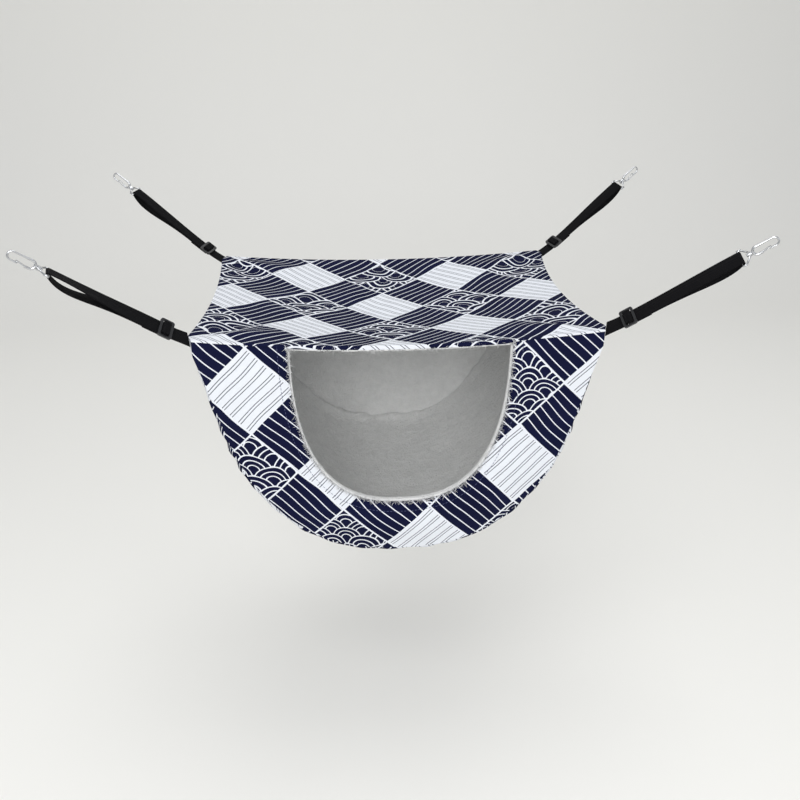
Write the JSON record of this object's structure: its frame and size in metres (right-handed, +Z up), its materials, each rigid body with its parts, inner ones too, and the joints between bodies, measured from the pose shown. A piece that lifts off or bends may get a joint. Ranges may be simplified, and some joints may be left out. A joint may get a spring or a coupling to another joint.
{
  "type": "cat hammock",
  "caption": "Fabric cat den with a plush lining and an open mouth, slung by adjustable webbing straps with swivel snap hooks for hanging in a cage.",
  "frame": {"origin": "in the hanging plane, midway between the bends of the four hooks", "axes": "+Z up, the mouth faces -Y, +X to the right as seen when facing the mouth"},
  "size_m": [0.7682, 0.4424, 0.4023],
  "materials": {
    "canvas": "printed cotton canvas, matt",
    "plush": "short-pile grey plush",
    "webbing": "ribbed polyester webbing",
    "slider": "glossy moulded plastic",
    "nickel": "bright nickel plate"
  },
  "bodies": {
    "hammock": {"roof_cover": "canvas", "roof_lining": "plush", "belly_cover": "canvas", "belly_lining": "plush", "front_cover": "canvas", "front_lining": "plush", "back_cover": "canvas", "back_lining": "plush"},
    "fl_strap": {"strap_tail_front_left": "webbing"},
    "fl_slider": {"slider_front_left": "slider"},
    "fl_loop": {"strap_loop_front_left": "webbing"},
    "fl_ring": {"ring_front_left": "nickel"},
    "fl_hook": {"hook_front_left": "nickel"},
    "fl_gate": {"gate_front_left": "nickel"},
    "fr_strap": {"strap_tail_front_right": "webbing"},
    "fr_slider": {"slider_front_right": "slider"},
    "fr_loop": {"strap_loop_front_right": "webbing"},
    "fr_ring": {"ring_front_right": "nickel"},
    "fr_hook": {"hook_front_right": "nickel"},
    "fr_gate": {"gate_front_right": "nickel"},
    "rl_strap": {"strap_tail_rear_left": "webbing"},
    "rl_slider": {"slider_rear_left": "slider"},
    "rl_loop": {"strap_loop_rear_left": "webbing"},
    "rl_ring": {"ring_rear_left": "nickel"},
    "rl_hook": {"hook_rear_left": "nickel"},
    "rl_gate": {"gate_rear_left": "nickel"},
    "rr_strap": {"strap_tail_rear_right": "webbing"},
    "rr_slider": {"slider_rear_right": "slider"},
    "rr_loop": {"strap_loop_rear_right": "webbing"},
    "rr_ring": {"ring_rear_right": "nickel"},
    "rr_hook": {"hook_rear_right": "nickel"},
    "rr_gate": {"gate_rear_right": "nickel"}
  },
  "joints": [
    {"name": "strap_swing_front_left", "type": "hinge", "parent": "hammock", "child": "fl_strap", "pos_m": [-0.23058, -0.1646, -0.1105], "axis": [-0.342, 0.9397, 0], "range_deg": [-95, 45], "deforming": ["strap_tail_front_left", "strap_loop_front_left"]},
    {"name": "slider_slide_front_left", "type": "slide", "parent": "fl_strap", "child": "fl_slider", "axis": [-0.7698, -0.2802, 0.5736], "range_m": [0, 0.12], "deforming": ["strap_tail_front_left", "strap_loop_front_left"]},
    {"name": "loop_slide_front_left", "type": "slide", "parent": "fl_slider", "child": "fl_loop", "axis": [-0.7698, -0.2802, 0.5736], "range_m": [-0.06, 0], "deforming": ["strap_tail_front_left", "strap_loop_front_left"]},
    {"name": "ring_swing_front_left", "type": "hinge", "parent": "fl_loop", "child": "fl_ring", "pos_m": [-0.35143, -0.20859, -0.02045], "axis": [0.2432, -0.9595, -0.1422], "range_deg": [-60, 60], "deforming": ["strap_loop_front_left"]},
    {"name": "hook_swivel_front_left", "type": "hinge", "parent": "fl_ring", "child": "fl_hook", "pos_m": [-0.35759, -0.21083, -0.01586], "axis": [-0.7698, -0.2802, 0.5736], "continuous": true},
    {"name": "gate_swing_front_left", "type": "hinge", "parent": "fl_hook", "child": "fl_gate", "pos_m": [-0.36924, -0.21507, -0.01255], "axis": [-0.342, 0.9397, 0], "range_deg": [0, 27], "stiffness_Nm_per_rad": 0.01, "springref_deg": -17.19},
    {"name": "strap_swing_front_right", "type": "hinge", "parent": "hammock", "child": "fr_strap", "pos_m": [0.23058, -0.1646, -0.1105], "axis": [-0.342, -0.9397, 0], "range_deg": [-95, 45], "deforming": ["strap_tail_front_right", "strap_loop_front_right"]},
    {"name": "slider_slide_front_right", "type": "slide", "parent": "fr_strap", "child": "fr_slider", "axis": [0.7698, -0.2802, 0.5736], "range_m": [0, 0.12], "deforming": ["strap_tail_front_right", "strap_loop_front_right"]},
    {"name": "loop_slide_front_right", "type": "slide", "parent": "fr_slider", "child": "fr_loop", "axis": [0.7698, -0.2802, 0.5736], "range_m": [-0.06, 0], "deforming": ["strap_tail_front_right", "strap_loop_front_right"]},
    {"name": "ring_swing_front_right", "type": "hinge", "parent": "fr_loop", "child": "fr_ring", "pos_m": [0.35143, -0.20859, -0.02045], "axis": [-0.1393, 0.8032, 0.5792], "range_deg": [-60, 60], "deforming": ["strap_loop_front_right"]},
    {"name": "hook_swivel_front_right", "type": "hinge", "parent": "fr_ring", "child": "fr_hook", "pos_m": [0.35759, -0.21083, -0.01586], "axis": [0.7698, -0.2802, 0.5736], "continuous": true},
    {"name": "gate_swing_front_right", "type": "hinge", "parent": "fr_hook", "child": "fr_gate", "pos_m": [0.36924, -0.21507, -0.01255], "axis": [-0.342, -0.9397, 0], "range_deg": [0, 27], "stiffness_Nm_per_rad": 0.01, "springref_deg": -17.19},
    {"name": "strap_swing_rear_left", "type": "hinge", "parent": "hammock", "child": "rl_strap", "pos_m": [-0.23058, 0.1646, -0.1105], "axis": [0.342, 0.9397, 0], "range_deg": [-95, 45], "deforming": ["strap_tail_rear_left", "strap_loop_rear_left"]},
    {"name": "slider_slide_rear_left", "type": "slide", "parent": "rl_strap", "child": "rl_slider", "axis": [-0.7698, 0.2802, 0.5736], "range_m": [0, 0.12], "deforming": ["strap_tail_rear_left", "strap_loop_rear_left"]},
    {"name": "loop_slide_rear_left", "type": "slide", "parent": "rl_slider", "child": "rl_loop", "axis": [-0.7698, 0.2802, 0.5736], "range_m": [-0.06, 0], "deforming": ["strap_tail_rear_left", "strap_loop_rear_left"]},
    {"name": "ring_swing_rear_left", "type": "hinge", "parent": "rl_loop", "child": "rl_ring", "pos_m": [-0.35143, 0.20859, -0.02045], "axis": [-0.4466, -0.8784, -0.1703], "range_deg": [-60, 60], "deforming": ["strap_loop_rear_left"]},
    {"name": "hook_swivel_rear_left", "type": "hinge", "parent": "rl_ring", "child": "rl_hook", "pos_m": [-0.35759, 0.21083, -0.01586], "axis": [-0.7698, 0.2802, 0.5736], "continuous": true},
    {"name": "gate_swing_rear_left", "type": "hinge", "parent": "rl_hook", "child": "rl_gate", "pos_m": [-0.36924, 0.21507, -0.01255], "axis": [0.342, 0.9397, 0], "range_deg": [0, 27], "stiffness_Nm_per_rad": 0.01, "springref_deg": -17.19},
    {"name": "strap_swing_rear_right", "type": "hinge", "parent": "hammock", "child": "rr_strap", "pos_m": [0.23058, 0.1646, -0.1105], "axis": [0.342, -0.9397, 0], "range_deg": [-95, 45], "deforming": ["strap_tail_rear_right", "strap_loop_rear_right"]},
    {"name": "slider_slide_rear_right", "type": "slide", "parent": "rr_strap", "child": "rr_slider", "axis": [0.7698, 0.2802, 0.5736], "range_m": [0, 0.12], "deforming": ["strap_tail_rear_right", "strap_loop_rear_right"]},
    {"name": "loop_slide_rear_right", "type": "slide", "parent": "rr_slider", "child": "rr_loop", "axis": [0.7698, 0.2802, 0.5736], "range_m": [-0.06, 0], "deforming": ["strap_tail_rear_right", "strap_loop_rear_right"]},
    {"name": "ring_swing_rear_right", "type": "hinge", "parent": "rr_loop", "child": "rr_ring", "pos_m": [0.35143, 0.20859, -0.02045], "axis": [-0.5378, 0.7687, 0.3462], "range_deg": [-60, 60], "deforming": ["strap_loop_rear_right"]},
    {"name": "hook_swivel_rear_right", "type": "hinge", "parent": "rr_ring", "child": "rr_hook", "pos_m": [0.35759, 0.21083, -0.01586], "axis": [0.7698, 0.2802, 0.5736], "continuous": true},
    {"name": "gate_swing_rear_right", "type": "hinge", "parent": "rr_hook", "child": "rr_gate", "pos_m": [0.36924, 0.21507, -0.01255], "axis": [0.342, -0.9397, 0], "range_deg": [0, 27], "stiffness_Nm_per_rad": 0.01, "springref_deg": -17.19}
  ],
  "couplings": [
    {"joint": "loop_slide_front_left", "follows": "slider_slide_front_left", "ratio": -0.5},
    {"joint": "loop_slide_front_right", "follows": "slider_slide_front_right", "ratio": -0.5},
    {"joint": "loop_slide_rear_left", "follows": "slider_slide_rear_left", "ratio": -0.5},
    {"joint": "loop_slide_rear_right", "follows": "slider_slide_rear_right", "ratio": -0.5}
  ]
}
